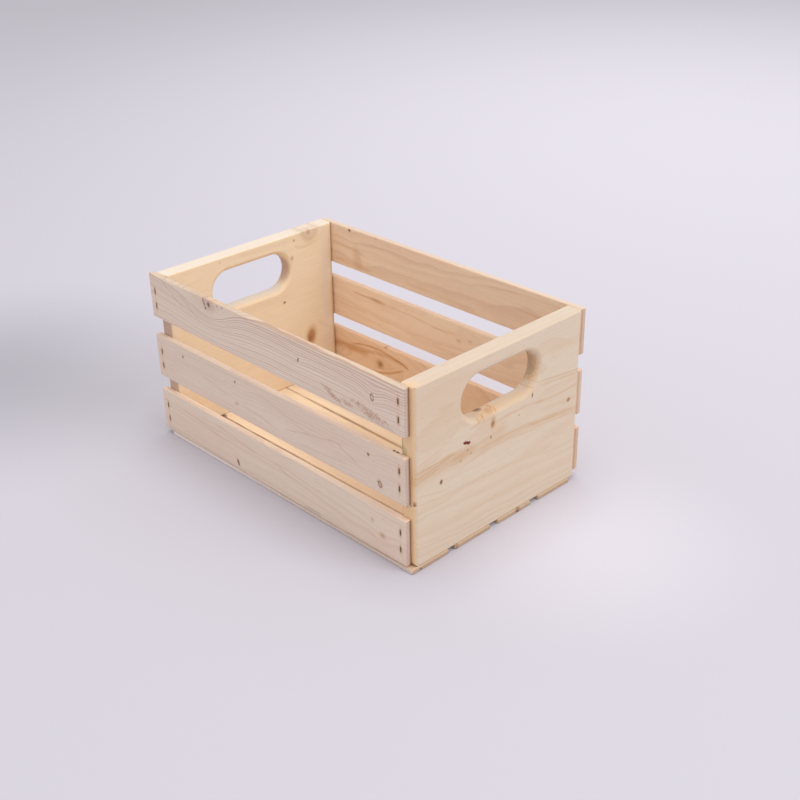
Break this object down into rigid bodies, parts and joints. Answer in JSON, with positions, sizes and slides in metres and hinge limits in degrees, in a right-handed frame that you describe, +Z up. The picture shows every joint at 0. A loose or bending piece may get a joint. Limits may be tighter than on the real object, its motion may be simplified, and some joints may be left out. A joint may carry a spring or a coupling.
{
  "type": "slatted wooden storage crate",
  "caption": "Open-topped slatted pine crate with solid end boards, each with a rounded oblong hand slot, and stapled slats along the sides and floor.",
  "frame": {"origin": "centre of the crate's overall length and width, on the surface that it stands on", "axes": "+X along the slats towards the right end board, +Y from the front side slats to the back ones, +Z up through the open top"},
  "size_m": [0.411, 0.2566, 0.2015],
  "materials": {
    "pine_end_board": "planed and sanded, unfinished",
    "pine_side_slat": "fine-sawn, unfinished",
    "pine_floor_slat": "fine-sawn, unfinished",
    "staple_steel": "dull galvanised wire"
  },
  "bodies": {
    "root": {"end_board_left": "pine_end_board", "end_board_right": "pine_end_board", "front_slat_bottom": "pine_side_slat", "front_slat_middle": "pine_side_slat", "front_slat_top": "pine_side_slat", "back_slat_bottom": "pine_side_slat", "back_slat_middle": "pine_side_slat", "back_slat_top": "pine_side_slat", "floor_slat_1": "pine_floor_slat", "floor_slat_2": "pine_floor_slat", "floor_slat_3": "pine_floor_slat", "floor_slat_4": "pine_floor_slat", "side_staples": "staple_steel", "floor_staples": "staple_steel"}
  },
  "joints": []
}
